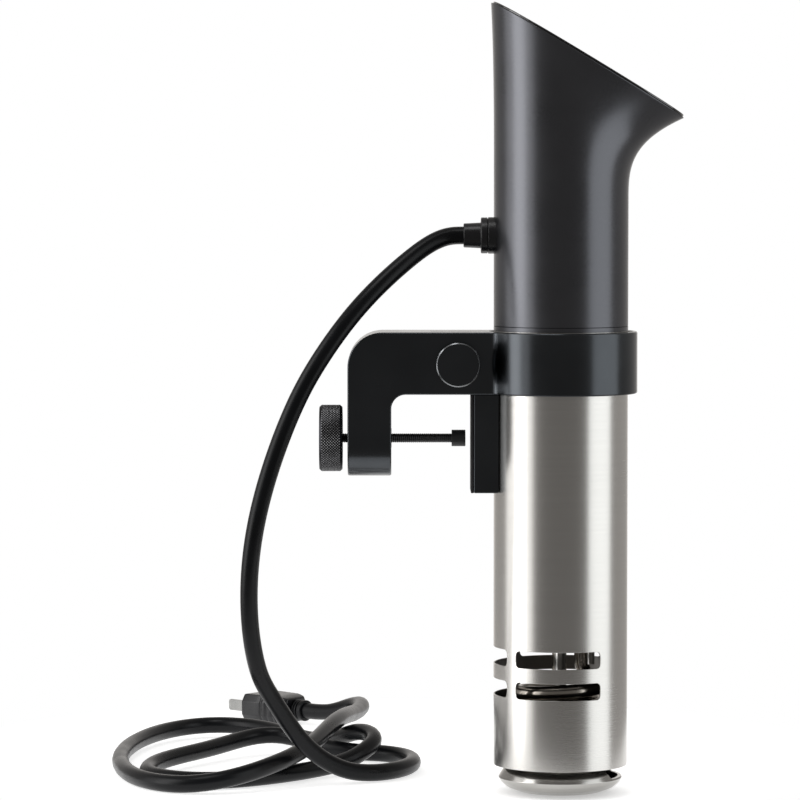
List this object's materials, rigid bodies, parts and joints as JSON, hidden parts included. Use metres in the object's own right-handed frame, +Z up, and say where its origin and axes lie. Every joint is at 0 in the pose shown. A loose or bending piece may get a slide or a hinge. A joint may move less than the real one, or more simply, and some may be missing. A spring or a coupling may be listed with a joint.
{
  "type": "sous vide circulator",
  "caption": "Immersion circulator: steel tube with pump and heater, slanted touch display on top, sliding collar with a screw clamp for a pot wall, and a power cord.",
  "frame": {"origin": "centre of the flat foot under the end cap", "axes": "+Z up along the tube, -X along the clamp's arm, +X towards the low end of the slanted display, -Y towards the front with the side knob"},
  "size_m": [0.2967, 0.3437, 0.4017],
  "materials": {
    "steel": "brushed",
    "black_satin": "satin",
    "black_paint": "satin",
    "black_gloss": "gloss",
    "grey_plastic": "matte",
    "rubber": "matte",
    "cord_rubber": "satin",
    "nylon": "satin",
    "brass": "satin",
    "copper": "satin",
    "board": "matte",
    "zinc": "satin"
  },
  "bodies": {
    "housing": {"skirt_tube": "steel", "end_cap": "steel", "bearing_spider": "grey_plastic", "shaft_bush": "nylon", "heater_coil": "steel", "temp_probe": "steel", "level_probes": "steel", "bulkhead": "black_satin", "bulkhead_seal": "rubber", "shaft_seal": "rubber", "motor_mount": "zinc", "mount_screws": "zinc", "motor_can": "zinc", "motor_stator": "copper", "power_board": "board", "head_shell": "black_satin", "display_module": "board", "display_glass": "black_gloss", "cord_gland": "rubber", "gland_nut": "grey_plastic", "cord": "cord_rubber", "plug_relief": "cord_rubber", "plug_body": "black_satin", "plug_blades": "brass"},
    "rotor": {"drive_shaft": "steel", "impeller": "grey_plastic", "shaft_coupling": "rubber", "motor_shaft": "steel", "motor_rotor": "zinc", "cooling_fan": "grey_plastic"},
    "slider": {"collar_liner": "nylon"},
    "clamp": {"clamp_collar": "black_paint", "fixed_jaw": "black_paint", "jaw_pad": "rubber", "threaded_bush": "brass", "collar_nut": "zinc"},
    "collar_knob": {"side_knob": "black_paint", "side_screw": "zinc"},
    "pad": {"screw_pad": "rubber"},
    "screw": {"pot_screw": "zinc", "screw_knob": "black_paint"}
  },
  "joints": [
    {"name": "pump_spin", "type": "hinge", "parent": "housing", "child": "rotor", "pos_m": [0, 0, 0.25], "axis": [0, 0, 1], "continuous": true},
    {"name": "clamp_height", "type": "slide", "parent": "housing", "child": "slider", "axis": [0, 0, 1], "range_m": [-0.04, 0]},
    {"name": "clamp_swivel", "type": "hinge", "parent": "slider", "child": "clamp", "pos_m": [0, 0, 0.219], "axis": [0, 0, 1], "range_deg": [-180, 0]},
    {"name": "collar_knob_turn", "type": "hinge", "parent": "clamp", "child": "collar_knob", "pos_m": [-0.0523, -0.03, 0.219], "axis": [0, 1, 0], "range_deg": [0, 180]},
    {"name": "screw_feed", "type": "slide", "parent": "clamp", "child": "pad", "axis": [1, 0, 0], "range_m": [-0.024, 0.0023]},
    {"name": "screw_turn", "type": "hinge", "parent": "pad", "child": "screw", "pos_m": [-0.1, 0, 0.1807], "axis": [1, 0, 0], "range_deg": [-8641, 829]}
  ],
  "couplings": [
    {"joint": "screw_turn", "follows": "screw_feed", "rad_per_m": 6283.2}
  ]
}
